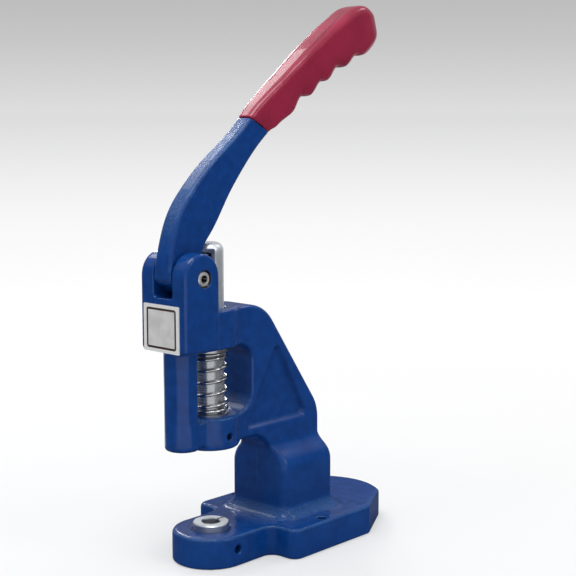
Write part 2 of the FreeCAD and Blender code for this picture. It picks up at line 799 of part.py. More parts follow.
def make_lower_ram_bush():
    bush = upright_ring(ram_radius + running_clearance, guide_bush_radius,
                        lower_boss_bottom + guide_bush_inset, lower_boss_top - guide_bush_inset)
    return bush.cut(crosswise(guide_screw_dog_radius + bolt_clearance, 0, boss_radius, 0, guide_screw_z))


# Spring collar, its retaining ring and the seat washer below the spring
def make_spring_collar():
    return upright_ring(ram_radius + collar_clearance, collar_radius,
                        spring_top, spring_top + collar_thickness)


def make_collar_ring():
    bottom = spring_top + collar_thickness
    ring = upright_ring(ram_radius - ring_groove_depth, ring_radius, bottom, bottom + ring_thickness)
    gap = box(-ring_gap / 2, ring_gap / 2, 0, ring_radius + overrun,
              bottom - overrun, bottom + ring_thickness + overrun)
    return ring.cut(gap)


def make_spring_seat_washer():
    return upright_ring(ram_radius + ram_relief, collar_radius, lower_boss_top, spring_bottom)


# Return spring: a closed turn at each end and open turns between, in quarter turns of two arcs each
def spring_heights():
    bottom = spring_bottom + spring_end_clearance + spring_wire / 2
    top = spring_top - spring_end_clearance - spring_wire / 2
    weights = []
    for index in range(spring_quarter_turns):
        from_end = min(index, spring_quarter_turns - 1 - index)
        weight = (from_end - spring_closed_quarters + 1) / (spring_blend_quarters + 1)
        weights.append(min(1.0, max(0.0, weight)))
    closed_rise = spring_end_pitch / 4
    open_total = top - bottom - closed_rise * spring_quarter_turns
    heights = [bottom]
    for weight in weights:
        heights.append(heights[-1] + closed_rise + open_total * weight / sum(weights))
    return heights


def spring_points():
    heights = spring_heights()
    points = []
    tangents = []
    for index, z in enumerate(heights):
        turn = math.radians(spring_start_angle + 90 * index)
        before = heights[max(index - 1, 0)]
        after = heights[min(index + 1, len(heights) - 1)]
        steps = 2 if 0 < index < len(heights) - 1 else 1
        slope = (after - before) / (steps * math.pi / 2)
        points.append(vec(spring_mean_radius * math.cos(turn), spring_mean_radius * math.sin(turn), z))
        tangent = vec(-spring_mean_radius * math.sin(turn), spring_mean_radius * math.cos(turn), slope)
        tangents.append(tangent.normalize())
    return points, tangents


def biarc(start, start_way, end, end_way):
    # two arcs that leave start along start_way, reach end along end_way and meet smoothly
    chord = end - start
    both = start_way + end_way
    a = 2 * (1 - start_way.dot(end_way))
    b = 2 * chord.dot(both)
    c = -chord.dot(chord)
    reach = (-b + math.sqrt(b * b - 4 * a * c)) / (2 * a)
    joint = (start + start_way * reach + end - end_way * reach) * 0.5
    return [arc_along(start, start_way, joint), arc_along(end, end_way * -1, joint)[::-1]]


def arc_along(start, way, end):
    # the middle point of the arc that leaves start along way and ends at end
    chord = end - start
    length = chord.Length
    toward = FreeCAD.Vector(chord).normalize()
    bulge = (toward * way.dot(toward) - way)
    cosine = way.dot(toward)
    sine = math.sqrt(max(0.0, 1 - cosine * cosine))
    height = length / 2 * (1 - cosine) / sine
    middle = start + chord * 0.5 - bulge.normalize() * height
    return (start, middle, end)


def make_return_spring():
    points, tangents = spring_points()
    first_end = points[0] - tangents[0] * spring_wire
    last_end = points[-1] + tangents[-1] * spring_wire
    edges = [line(first_end, points[0])]
    for index in range(len(points) - 1):
        for start, middle, end in biarc(points[index], tangents[index],
                                        points[index + 1], tangents[index + 1]):
            edges.append(arc(start, middle, end))
    edges.append(line(points[-1], last_end))
    path = Part.Wire(edges)
    circle = Part.Wire([Part.Circle(first_end, tangents[0], spring_wire / 2).toShape()])
    spring = path.makePipeShell([circle], True, False)
    expected = math.pi * (spring_wire / 2) ** 2 * path.Length
    print("spring length", round(path.Length, 1), "volume share", round(spring.Volume / expected, 4))
    print("spring least gap to itself", round(least_gap(path), 3))
    return spring


def least_gap(path):
    # the wire's surface distance between places more than half a turn apart along the path
    count = int(path.Length)
    samples = path.discretize(Number=count)
    far_enough = int(math.pi * spring_mean_radius)
    least = spring_top
    for first in range(count):
        for second in range(first + far_enough, count):
            least = min(least, samples[first].distanceToPoint(samples[second]))
    return least - spring_wire


# Screws that hold the die bushing and guide the ram
def make_ram_guide_screw():
    body = crosswise(guide_screw_radius, guide_screw_shoulder_x, guide_screw_head_x, 0, guide_screw_z)
    dog = crosswise(guide_screw_dog_radius, keyway_floor_x + dog_clearance, guide_screw_shoulder_x,
                    0, guide_screw_z)
    socket = hexagon(guide_socket_flats, guide_screw_head_x - socket_depth,
                     guide_screw_head_x + overrun, 0, guide_screw_z)
    return body.fuse(dog).cut(socket)


def make_die_clamp_screw():
    tip = die_bushing_radius + bushing_clearance
    body = crosswise(clamp_screw_radius, tip, clamp_screw_head_x, 0, clamp_screw_z)
    socket = hexagon(clamp_socket_flats, clamp_screw_head_x - socket_depth,
                     clamp_screw_head_x + overrun, 0, clamp_screw_z)
    return body.cut(socket)


# Split bushing in the lobe
def make_die_bushing():
    body = upright(die_bushing_radius, die_bushing_floor, die_bushing_top - die_bushing_bevel)
    rim = Part.makeCone(die_bushing_radius, die_bushing_radius - die_bushing_bevel, die_bushing_bevel,
                        vec(0, 0, die_bushing_top - die_bushing_bevel), vec(0, 0, 1))
    mouth = Part.makeCone(die_bore_radius, die_bore_radius + die_bore_bevel, die_bore_bevel,
                          vec(0, 0, die_bushing_top - die_bore_bevel), vec(0, 0, 1))
    slit = box(-die_slit_width / 2, die_slit_width / 2, 0, die_bushing_radius + overrun,
               die_bushing_floor - overrun, die_bushing_top + overrun)
    bore = upright(die_bore_radius, die_bushing_floor - overrun, die_bushing_top + overrun)
    return body.fuse(rim).removeSplitter().cut([bore, mouth, slit])


def make_label_plate():
    bottom = block_bottom + plate_lift
    corners = [(-plate_half_width, bottom, plate_corner_round),
               (plate_half_width, bottom, plate_corner_round),
               (plate_half_width, bottom + plate_height, plate_corner_round),
               (-plate_half_width, bottom + plate_height, plate_corner_round)]

    def place(u, v):
        return vec(plate_centre_x + u, block_front_y, v)

    return prism(rounded_wire(corners, place), vec(0, -plate_thickness, 0))


pieces = {
    "frame_casting": make_frame_casting,
    "lever_arm": make_lever_arm,
    "handle_grip": make_handle_grip,
    "fulcrum_pin": make_fulcrum_pin,
    "fulcrum_washer": make_fulcrum_washer,
    "fulcrum_lock_nut": make_fulcrum_lock_nut,
    "thrust_washers": make_thrust_washers,
    "lever_pivot_bush": make_lever_pivot_bush,
    "roller_pin": make_roller_pin,
    "roller_bush": make_roller_bush,
    "roller": make_roller,
    "ram": make_ram,
    "upper_ram_bush": make_upper_ram_bush,
    "lower_ram_bush": make_lower_ram_bush,
    "spring_collar": make_spring_collar,
    "collar_ring": make_collar_ring,
    "spring_seat_washer": make_spring_seat_washer,
    "return_spring": make_return_spring,
    "ram_guide_screw": make_ram_guide_screw,
    "die_clamp_screw": make_die_clamp_screw,
    "die_bushing": make_die_bushing,
    "label_plate": make_label_plate,
}

os.makedirs("parts", exist_ok=True)
print("ram stroke", round(ram_stroke, 3), "roller centre", round(roller_y, 3), round(roller_z, 3))
for name, make in pieces.items():
    shape = make()
    if not shape.isValid():
        print("not valid:", name)
    shape.exportStep("parts/" + name + ".step")
    print(name, len(shape.Solids), "solids, volume", round(shape.Volume))
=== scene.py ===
import json
import math
import bmesh
import bpy
from mathutils import Matrix, Vector


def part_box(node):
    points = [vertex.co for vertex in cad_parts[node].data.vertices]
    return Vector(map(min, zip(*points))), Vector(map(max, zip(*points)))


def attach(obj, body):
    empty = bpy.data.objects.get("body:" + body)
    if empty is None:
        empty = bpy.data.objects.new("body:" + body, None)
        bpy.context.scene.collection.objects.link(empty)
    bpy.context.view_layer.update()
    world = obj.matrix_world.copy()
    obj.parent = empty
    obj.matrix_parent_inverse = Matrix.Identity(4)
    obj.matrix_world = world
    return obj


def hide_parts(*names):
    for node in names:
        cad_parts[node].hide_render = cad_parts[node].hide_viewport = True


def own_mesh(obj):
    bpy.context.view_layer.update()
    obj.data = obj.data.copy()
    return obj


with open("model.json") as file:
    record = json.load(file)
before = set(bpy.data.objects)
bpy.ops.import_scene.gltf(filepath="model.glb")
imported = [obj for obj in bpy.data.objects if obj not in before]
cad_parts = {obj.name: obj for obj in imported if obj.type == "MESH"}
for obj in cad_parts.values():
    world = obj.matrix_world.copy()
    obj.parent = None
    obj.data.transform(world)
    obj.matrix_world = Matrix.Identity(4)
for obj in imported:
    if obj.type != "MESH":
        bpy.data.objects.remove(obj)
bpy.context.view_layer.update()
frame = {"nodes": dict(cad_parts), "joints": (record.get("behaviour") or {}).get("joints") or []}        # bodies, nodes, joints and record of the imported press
nodes = frame["nodes"]
mm = 0.001


# shader maths is written as plain expressions: an expression on Wires adds its Math nodes
class Wire:
    def __init__(self, paint, socket):
        self.paint = paint
        self.socket = socket

    def __add__(self, other):
        return self.paint.maths("ADD", self, other)

    def __sub__(self, other):
        return self.paint.maths("SUBTRACT", self, other)

    def __rsub__(self, other):
        return self.paint.maths("SUBTRACT", other, self)

    def __mul__(self, other):
        return self.paint.maths("MULTIPLY", self, other)

    def __truediv__(self, other):
        return self.paint.maths("DIVIDE", self, other)

    def __rtruediv__(self, other):
        return self.paint.maths("DIVIDE", other, self)

    __radd__ = __add__
    __rmul__ = __mul__

    def power(self, exponent):
        return self.paint.maths("POWER", self, exponent)

    def absolute(self):
        return self.paint.maths("ABSOLUTE", self)

    def atLeast(self, other):
        return self.paint.maths("MAXIMUM", self, other)

    def atMost(self, other):
        return self.paint.maths("MINIMUM", self, other)

    def fade(self, low, high):
        # 0 below low, 1 above high, smooth between
        return self.paint.node("ShaderNodeMapRange", {"interpolation_type": "SMOOTHSTEP"},
                               {"Value": self, "From Min": low, "From Max": high})


# one node tree; a Wire given as a value is linked, anything else is set on the socket
class Paint:
    def __init__(self, tree):
        self.tree = tree
        self.tree.nodes.clear()

    def node(self, kind, settings=None, values=None, output=0):
        made = self.tree.nodes.new(kind)
        for key, value in (settings or {}).items():
            if key == "stops":
                self.setStops(made.color_ramp, value)
            else:
                setattr(made, key, value)
        for key, value in (values or {}).items():
            if isinstance(value, Wire):
                self.tree.links.new(value.socket, made.inputs[key])
            else:
                made.inputs[key].default_value = value
        return Wire(self, made.outputs[output])

    def setStops(self, ramp, stops):
        while len(ramp.elements) < len(stops):
            ramp.elements.new(0.5)
        for element, (place, shade) in zip(ramp.elements, stops):
            element.position = place
            element.color = (*shade, 1)

    def maths(self, operation, first, second=None):
        values = {0: first}
        if second is not None:
            values[1] = second
        return self.node("ShaderNodeMath", {"operation": operation}, values)

    def blend(self, factor, first, second):
        # a colour mix has its colours on inputs 6 and 7, and its result on output 2
        settings = {"data_type": "RGBA", "blend_type": "MIX", "clamp_factor": True}
        return self.node("ShaderNodeMix", settings, {0: factor, 6: first, 7: second}, output=2)

    def place(self, scale=(1, 1, 1), move=(0, 0, 0)):
        where = self.node("ShaderNodeTexCoord", output="Object")
        return self.node("ShaderNodeMapping", {}, {"Vector": where, "Location": move, "Scale": scale})

    def part(self, where, letter):
        return self.node("ShaderNodeSeparateXYZ", {}, {"Vector": where}, output=letter)

    def length(self, where):
        return self.node("ShaderNodeVectorMath", {"operation": "LENGTH"}, {0: where}, output="Value")

    def noise(self, where, scale, detail=3.0, roughness=0.55):
        return self.node("ShaderNodeTexNoise", {}, {"Vector": where, "Scale": scale, "Detail": detail,
                                                    "Roughness": roughness})

    def bump(self, height, strength, distance):
        values = {"Height": height, "Strength": strength, "Distance": distance}
        return self.node("ShaderNodeBump", {}, values)

    def shades(self, values):
        return self.node("ShaderNodeBsdfPrincipled", {}, values)

    def finish(self, shader, kind="ShaderNodeOutputMaterial"):
        end = self.tree.nodes.new(kind)
        self.tree.links.new(shader.socket, end.inputs["Surface"])


def newMaterial(name):
    material = bpy.data.materials.new(name)
    material.use_nodes = True
    return material, Paint(material.node_tree)


# the camera, in degrees and millimetres
cameraView = {"azimuth": 42.49, "elevation": 7.85, "distance": 881.3, "target": (45.8, 30.0, 192.8),
              "lens": 81.2, "sensor": 36, "clip": (0.05, 60)}


def directionTo(azimuth, elevation):
    # azimuth runs from the front of the press round to its right
    turn, tilt = math.radians(azimuth), math.radians(elevation)
    return Vector((math.sin(turn) * math.cos(tilt), -math.cos(turn) * math.cos(tilt), math.sin(tilt)))


def makeCamera():
    back = directionTo(cameraView["azimuth"], cameraView["elevation"])
    lens = bpy.data.cameras.new("viewCamera")
    lens.lens = cameraView["lens"]
    lens.sensor_width = cameraView["sensor"]
    lens.clip_start, lens.clip_end = cameraView["clip"]
    camera = bpy.data.objects.new("viewCamera", lens)
    camera.location = (Vector(cameraView["target"]) + back * cameraView["distance"]) * mm
    camera.rotation_euler = back.to_track_quat("Z", "Y").to_euler()
    bpy.context.scene.collection.objects.link(camera)
    bpy.context.scene.camera = camera


# the lamps: where they hang as seen from the press in degrees, size and distance in metres, power in watts
lamps = {
    "topSoftbox": {"azimuth": 20, "elevation": 75, "distance": 1.25, "size": (0.8, 0.6), "power": 11.0},
    "leftSoftbox": {"azimuth": -95, "elevation": 48, "distance": 1.5, "size": (0.62, 0.34), "power": 3.7},
    "leftStrip": {"azimuth": -121, "elevation": 26, "distance": 1.5, "size": (0.10, 0.45), "power": 3.4},
    "backSoftbox": {"azimuth": 165, "elevation": 47, "distance": 1.5, "size": (0.4, 0.25), "power": 1.6},
    "rightStrip": {"azimuth": 100, "elevation": 34, "distance": 1.6, "size": (0.2, 0.9), "power": 3.0},
}
lampAim = Vector((0, 30, 170)) * mm


def makeLamps():
    for name, lamp in lamps.items():
        light = bpy.data.lights.new(name, "AREA")
        light.shape = "RECTANGLE"
        light.size, light.size_y = lamp["size"]
        light.energy = lamp["power"]
        holder = bpy.data.objects.new(name, light)
        away = directionTo(lamp["azimuth"], lamp["elevation"])
        holder.location = lampAim + away * lamp["distance"]
        holder.rotation_euler = away.to_track_quat("Z", "Y").to_euler()
        bpy.context.scene.collection.objects.link(holder)


def linked(name, mesh):
    made = bpy.data.objects.new(name, mesh)
    bpy.context.scene.collection.objects.link(made)
    return made


def meshOf(bm, name):
    mesh = bpy.data.meshes.new(name)
    bm.to_mesh(mesh)
    bm.free()
    return mesh


def disc(name, form):
    bm = bmesh.new()
    bmesh.ops.create_circle(bm, cap_ends=True, segments=form["segments"], radius=form["radius"])
    bmesh.ops.translate(bm, vec=(0, 0, form["lift"]), verts=bm.verts)
    return linked(name, meshOf(bm, name))


# the floor, in metres; it glows less inside shadeRing, so that the press keeps its shadow
floorForm = {"radius": 40.0, "segments": 64, "lift": 0.0}
floorGlow = {"shadeRing": 0.12, "clearRing": 0.9, "near": 0.45}
floorPaint = {"colour": (0.80, 0.805, 0.81, 1), "rough": 0.9}
# how bright the floor looks, by 1 / (1 + metres from the press)
floorTone = [(0.0244, (0.723, 0.723, 0.726)), (0.17, (0.87, 0.87, 0.872)), (0.26, (0.94, 0.94, 0.94)),
             (0.42, (1.0, 1.0, 1.0)), (0.66, (1.0, 1.0, 1.0)), (0.80, (0.93, 0.935, 0.945)),
             (1.0, (0.85, 0.86, 0.875))]


def makeFloor():
    floor = disc("studioFloor", floorForm)
    material, paint = newMaterial("paleFloor")
    reach = paint.length(paint.place())
    tone = paint.node("ShaderNodeValToRGB", {"stops": floorTone}, {"Fac": 1 / (reach + 1.0)})
    far = reach.fade(floorGlow["shadeRing"], floorGlow["clearRing"])
    seen = paint.node("ShaderNodeLightPath", output="Is Camera Ray")
    mirrored = paint.node("ShaderNodeLightPath", output="Is Glossy Ray")
    matt = paint.shades({"Base Color": floorPaint["colour"], "Roughness": floorPaint["rough"]})
    glow = paint.node("ShaderNodeEmission", {}, {"Color": tone, "Strength": 1.0})
    share = (seen + mirrored).atMost(1.0) * (far * (1 - floorGlow["near"]) + floorGlow["near"])
    paint.finish(paint.node("ShaderNodeMixShader", {}, {0: share, 1: matt, 2: glow}))
    floor.data.materials.append(material)


# dark grey cards keep the enamel's reflections deep; one lies under the press, the others lean outwards:
# where each starts and ends, and how high its far edge rises, in metres
cards = {
    "cardRight": {"azimuth": 137, "near": 0.26, "far": 1.0, "halfWidth": 0.42, "height": 0.62},
    "cardLeft": {"azimuth": -42, "near": 0.26, "far": 1.0, "halfWidth": 0.42, "height": 0.62},
    "cardBack": {"azimuth": 222, "near": 0.55, "far": 1.0, "halfWidth": 0.40, "height": 0.34},
}
groundCard = {"radius": 0.30, "segments": 48, "lift": 0.0005}
cardLift = 0.001
cardPaint = {"colour": (0.055, 0.058, 0.062, 1), "rough": 0.9}


def leaningCard(name, card):
    # a grid laid on the floor, whose far edge is lifted
    middle = (card["far"] + card["near"]) / 2
    bm = bmesh.new()
    bmesh.ops.create_grid(bm, x_segments=1, y_segments=1, size=1)
    bmesh.ops.scale(bm, vec=(card["halfWidth"], card["far"] - middle, 1), verts=bm.verts)
    bmesh.ops.translate(bm, vec=(0, -middle, 0), verts=bm.verts)
    farEdge = [v for v in bm.verts if v.co.y < -middle]
    bmesh.ops.translate(bm, vec=(0, 0, card["height"]), verts=farEdge)
    bmesh.ops.translate(bm, vec=(0, 0, cardLift), verts=bm.verts)
    turn = Matrix.Rotation(math.radians(card["azimuth"]), 3, "Z")
    bmesh.ops.rotate(bm, cent=(0, 0, 0), matrix=turn, verts=bm.verts)
    return linked(name, meshOf(bm, name))


def makeCards():
    material, paint = newMaterial("greyCard")
    paint.finish(paint.shades({"Base Color": cardPaint["colour"], "Roughness": cardPaint["rough"]}))
    pieces = [disc("groundCard", groundCard)]
    pieces += [leaningCard(name, card) for name, card in cards.items()]
    for piece in pieces:
        piece.visible_camera = False
        piece.visible_shadow = False
        piece.visible_diffuse = False
        piece.data.materials.append(material)


# the backdrop that is seen and mirrored, and the light from all round, both by height
backdropTone = [(0.0, (0.723, 0.723, 0.726)), (0.023, (0.651, 0.651, 0.654)),
                (0.052, (0.565, 0.565, 0.568)), (0.080, (0.509, 0.509, 0.512)),
                (0.20, (0.45, 0.45, 0.455)), (0.55, (0.42, 0.42, 0.43)), (1.0, (0.60, 0.60, 0.61))]
ambientTone = [(0.0, (0.66, 0.67, 0.68)), (0.5, (0.82, 0.82, 0.83)), (1.0, (0.95, 0.95, 0.95))]
ambientStrength = 0.62


def makeWorld():
    world = bpy.data.worlds.new("studio")
    bpy.context.scene.world = world
    world.use_nodes = True
    paint = Paint(world.node_tree)
    height = paint.part(paint.node("ShaderNodeTexCoord", output="Generated"), "Z")
    backdrop = paint.node("ShaderNodeValToRGB", {"stops": backdropTone}, {"Fac": height})
    around = paint.node("ShaderNodeValToRGB", {"stops": ambientTone}, {"Fac": height})
    seen = paint.node("ShaderNodeLightPath", output="Is Camera Ray")
    mirrored = paint.node("ShaderNodeLightPath", output="Is Glossy Ray")
    shown = paint.node("ShaderNodeBackground", {}, {"Color": backdrop, "Strength": 1.0})
    lit = paint.node("ShaderNodeBackground", {}, {"Color": around, "Strength": ambientStrength})
    both = paint.node("ShaderNodeMixShader", {}, {0: (seen + mirrored).atMost(1.0), 1: lit, 2: shown})
    paint.finish(both, "ShaderNodeOutputWorld")
    bpy.context.scene.view_settings.view_transform = "Standard"


def within(value, low, high, soft):
    # 1 from low to high, fading to 0 over soft; all in millimetres
    return value.fade((low - soft) * mm, low * mm) * (1 - value.fade(high * mm, (high + soft) * mm))


def besideAxis(paint, node, along, radius, soft=0.15):
    # 1 inside the given radius round a node's own axis, 0 outside
    low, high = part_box(node)
    middle = (low + high) / 2
    keep = [0 if letter == along else 1 for letter in "xyz"]
    move = [-centre * use for centre, use in zip(middle, keep)]
    reach = paint.length(paint.place(scale=keep, move=move))
    return 1 - reach.fade((radius - soft) * mm, (radius + soft) * mm)


# gloss enamel over a sand-cast skin: colours, among them painted shade and painted highlight, noise scales,
# what is painted where, and the gloss
enamelTone = {"deep": (0.0022, 0.037, 0.185, 1), "main": (0.0030, 0.046, 0.225, 1),
              "bright": (0.006, 0.060, 0.255, 1), "sandSheen": (0.018, 0.105, 0.300, 1),
              "paintedShade": (0.0010, 0.015, 0.085, 1), "gap": (0.0008, 0.0012, 0.003, 1)}
enamelGrain = {"clouds": 24, "waves": 150, "sand": 850, "bump": 0.5, "depth": 0.45}
# where painted shade falls (inner corners, faces turned downward) and where a painted highlight lies (outer
# edges)
enamelEdge = {"innerCorner": (0.43, 0.485), "outerEdge": (0.52, 0.60), "underside": (0.12, 0.55)}
enamelGloss = {"Specular IOR Level": 0.25, "Coat Weight": 0.20, "Coat Roughness": 0.05}
# heights in millimetres between which the sand-cast grain stays open, and its faces that lean back are
# painted lighter as sheen
grainSheenZones = {
    "framePaint": {"grain": 0.9, "zones": [(16, 40), (96, 128)]},
    "leverPaint": {"grain": 1.25, "zones": [(195, 330)]},
}
zoneSoft = 4.0
# faces that lean back within these bounds get the open grain and its painted sheen
leanBack = {"from": (0.12, 0.50), "to": (0.90, 0.985)}        # how far up a face with open grain looks
# on the column's front, in millimetres: the mould's parting line, and one small blow hole
columnFront = {"from": 30, "to": 52, "soft": 1}
parting = {"x": -0.3, "core": 0.1, "halfWidth": 0.6, "from": 42, "to": 74, "soft": 6}
blowHole = {"x": -3.1, "z": 45.9, "core": 0.3, "radius": 0.8}
# painted shade in the gap round the pin's head
pinGap = {"radius": 6.0, "soft": 0.3}        # the dark gap round the pin's head


def zoneMask(height, zones):
    mask = 0.0
    for low, high in zones:
        mask = within(height, low, high, zoneSoft) + mask
    return mask


def columnMarks(paint, where):
    x, y, z = [paint.part(where, letter) for letter in "XYZ"]
    front = within(y, columnFront["from"], columnFront["to"], columnFront["soft"])
    line = 1 - (x - parting["x"] * mm).absolute().fade(parting["core"] * mm, parting["halfWidth"] * mm)
    line = line * within(z, parting["from"], parting["to"], parting["soft"]) * front
    beside, above = x - blowHole["x"] * mm, z - blowHole["z"] * mm
    reach = (beside * beside + above * above).power(0.5)
    hole = 1 - reach.fade(blowHole["core"] * mm, blowHole["radius"] * mm)
    return line, hole * front


def castEnamel(name):
    # soft waves, orange peel, and open grain on faces that lean back, where the grain is partly real
    # roughness and partly painted sheen
    material, paint = newMaterial(name)
    where = paint.place()
    clouds = paint.noise(where, enamelGrain["clouds"], detail=2)
    waves = paint.noise(where, enamelGrain["waves"], detail=2)
    sand = paint.noise(where, enamelGrain["sand"], detail=3, roughness=0.7)
    upward = paint.part(paint.node("ShaderNodeTexCoord", output="Normal"), "Z")
    leaning = upward.fade(*leanBack["from"]) * (1 - upward.fade(*leanBack["to"]))
    patch = clouds.fade(0.45, 0.66)
    tone = paint.blend(waves.fade(0.35, 0.7), enamelTone["deep"], enamelTone["main"])
    tone = paint.blend(patch * 0.3, tone, enamelTone["bright"])
    zones = zoneMask(paint.part(where, "Z"), grainSheenZones[name]["zones"])
    grainSheenMask = leaning * zones * (patch * 0.45 + 0.55) * grainSheenZones[name]["grain"]
    # painted sheen: open grain on faces that lean back is painted lighter
    tone = paint.blend(grainSheenMask * sand.fade(0.25, 0.75), tone, enamelTone["sandSheen"])
    # painted shade: inner corners and faces turned downward are painted darker; outer edges get a painted
    # highlight
    bend = paint.node("ShaderNodeNewGeometry", output="Pointiness")
    downward = (0 - upward).fade(*enamelEdge["underside"])
    paintedShade = ((1 - bend.fade(*enamelEdge["innerCorner"])) * 0.85).atLeast(downward * 0.6)
    tone = paint.blend(paintedShade, tone, enamelTone["paintedShade"])
    # painted highlight along outer edges, in the bright tone
    tone = paint.blend(bend.fade(*enamelEdge["outerEdge"]) * 0.6, tone, enamelTone["bright"])
    rough = 0.15 + sand * 0.08 + grainSheenMask * 0.12
    height = waves * 0.55 + sand * (grainSheenMask * 5.5 + patch * 0.25 + 0.08)
    if name == "framePaint":
        line, hole = columnMarks(paint, where)
        # the parting line is drawn as a low ridge in the same lighter sand-and-sheen tone
        tone = paint.blend(line * 0.35, tone, enamelTone["sandSheen"])
        # painted shade, near black, in the blow hole and in the gap round the pin's head
        gap = besideAxis(paint, "fulcrum_pin", "x", pinGap["radius"], pinGap["soft"])
        tone = paint.blend(hole.atLeast(gap), tone, enamelTone["gap"])
        height = height + line * 0.6 - hole * 1.5
    normal = paint.bump(height, enamelGrain["bump"], enamelGrain["depth"] * mm)
    paint.finish(paint.shades({"Base Color": tone, "Roughness": rough, "Normal": normal, **enamelGloss}))
    return material


# dipped vinyl: deep crimson, softly uneven
vinylTone = {"deep": (0.235, 0.0072, 0.034, 1), "main": (0.300, 0.0110, 0.048, 1),
             "foldShade": (0.060, 0.002, 0.010, 1)}
vinylGrain = {"clouds": 30, "ripples": 90, "bump": 0.22, "depth": 0.9}
vinylGloss = {"Specular IOR Level": 0.25, "Coat Weight": 0.38, "Coat Roughness": 0.07}
# the fold in the vinyl near the tip, in millimetres: its two ends as (y, z), and how it fades out at them
gripFold = {"start": (92.5, 356.3), "end": (131.5, 385.0), "halfWidth": 0.5, "core": 0.2, "lip": 2.2,
            "fadeIn": (-8, 6), "fadeOut": 2, "side": 1}
# the fold slants across the grip: how far it moves in y and z for each millimetre of x from its plane
foldSlant = {"plane": 10.0, "y": 1.14, "z": 0.10}


def heading(start, end):
    # the way from one (y, z) to another, and how far it is
    length = math.hypot(end[0] - start[0], end[1] - start[1])
    return (end[0] - start[0]) / length, (end[1] - start[1]) / length, length


def foldProfile(paint, where):
    # how far a point on the near side lies from the fold, as a groove and the lip beside it
    y0, z0 = gripFold["start"]
    alongY, alongZ, length = heading(gripFold["start"], gripFold["end"])
    x, y, z = [paint.part(where, letter) for letter in "XYZ"]
    inward = x - foldSlant["plane"] * mm
    y = y + inward * foldSlant["y"] - y0 * mm
    z = z + inward * foldSlant["z"] - z0 * mm
    along = y * alongY + z * alongZ
    off = z * alongY - y * alongZ
    reach = along.fade(*[stop * mm for stop in gripFold["fadeIn"]])
    reach = reach * (1 - along.fade((length - gripFold["fadeOut"]) * mm, length * mm))
    reach = reach * x.fade(-gripFold["side"] * mm, gripFold["side"] * mm)
    groove = (1 - off.absolute().fade(gripFold["core"] * mm, gripFold["halfWidth"] * mm)) * reach
    lip = (1 - (off + gripFold["lip"] * mm).absolute().fade(0, gripFold["lip"] * mm)) * reach
    return groove, lip


def vinylSkin():
    material, paint = newMaterial("gripVinyl")
    where = paint.place()
    clouds = paint.noise(where, vinylGrain["clouds"], detail=2)
    ripples = paint.noise(where, vinylGrain["ripples"], detail=1)
    groove, lip = foldProfile(paint, where)
    tone = paint.blend(clouds.fade(0.3, 0.7), vinylTone["deep"], vinylTone["main"])
    # painted shade along the fold's groove
    tone = paint.blend(groove * 0.75, tone, vinylTone["foldShade"])
    height = ripples * 0.4 + clouds + lip * 0.55 - groove * 0.5
    normal = paint.bump(height, vinylGrain["bump"], vinylGrain["depth"] * mm)
    rough = 0.34 + ripples * 0.10
    paint.finish(paint.shades({"Base Color": tone, "Roughness": rough, "Normal": normal, **vinylGloss}))
    return material


# the metals: colour, and how rough each is
metals = {
    "ramSteel": {"tone": (0.88, 0.93, 0.98), "rough": 0.28},
    "springSteel": {"tone": (0.72, 0.72, 0.73), "rough": 0.12},
    "pinSteel": {"tone": (0.62, 0.62, 0.63), "rough": 0.2},
    "bushingSteel": {"tone": (0.68, 0.72, 0.76), "rough": 0.30},
    "zincSteel": {"tone": (0.62, 0.64, 0.67), "rough": 0.28},
    "bearingBronze": {"tone": (0.50, 0.33, 0.15), "rough": 0.35},
    "blackSteel": {"tone": (0.06, 0.06, 0.065), "rough": 0.42},
}
# noise scales: tool marks are drawn out by "spread" and drawn fine across the bar's axis
groundMarks = {"spread": 25, "fine": 2600, "bands": 700, "smears": 70, "bump": 0.16, "depth": 0.05}
turnedMarks = {"rings": 3200, "spread": 20, "wall": 2400, "smears": 90, "bump": 0.22, "depth": 0.05}
platedMarks = {"clouds": 260, "fine": 2600, "bump": 0.2, "depth": 0.06}
# painted shade on the ram's lower part, inside the frame, and how far it fades
ramLowShade = {"colour": (0.30, 0.31, 0.33, 1), "fade": 6}


def smeared(paint, marks, tone, dull, low=0.3):
    # a metal's colour, duller in patches
    dulled = [c * dull for c in tone] + [1]
    return paint.blend(marks.fade(low, 0.7), dulled, list(tone) + [1])


def groundSteel(name, along, shadedBelow=None, metallic=1.0):
    # ground or turned bar: fine lines run round it, square to its axis
    material, paint = newMaterial(name)
    rough = metals[name]["rough"]
    stretch = [groundMarks["spread"]] * 3
    stretch["xyz".index(along)] = groundMarks["fine"]
    fine = paint.noise(paint.place(scale=stretch), 1.0, detail=3, roughness=0.6)
    stretch["xyz".index(along)] = groundMarks["bands"]
    bands = paint.noise(paint.place(scale=stretch), 1.0, detail=2)
    smear = paint.noise(paint.place(), groundMarks["smears"], detail=3)
    shade = smeared(paint, smear, metals[name]["tone"], 0.86, 0.35)
    # the ram is painted darker below the given height, as shade inside the frame, and made glossier there
    if shadedBelow is not None:
        height = paint.part(paint.place(), "Z")
        lowerRam = 1 - height.fade((shadedBelow - ramLowShade["fade"]) * mm, shadedBelow * mm)
        shade = paint.blend(lowerRam * 0.55, shade, ramLowShade["colour"])
        rough = rough - lowerRam * 0.09
    normal = paint.bump(fine * 0.6 + bands * 0.4, groundMarks["bump"], groundMarks["depth"] * mm)
    paint.finish(paint.shades({
        "Base Color": shade, "Metallic": metallic, "Roughness": fine * 0.10 + smear * 0.06 + rough,
        "Normal": normal}))
    return material


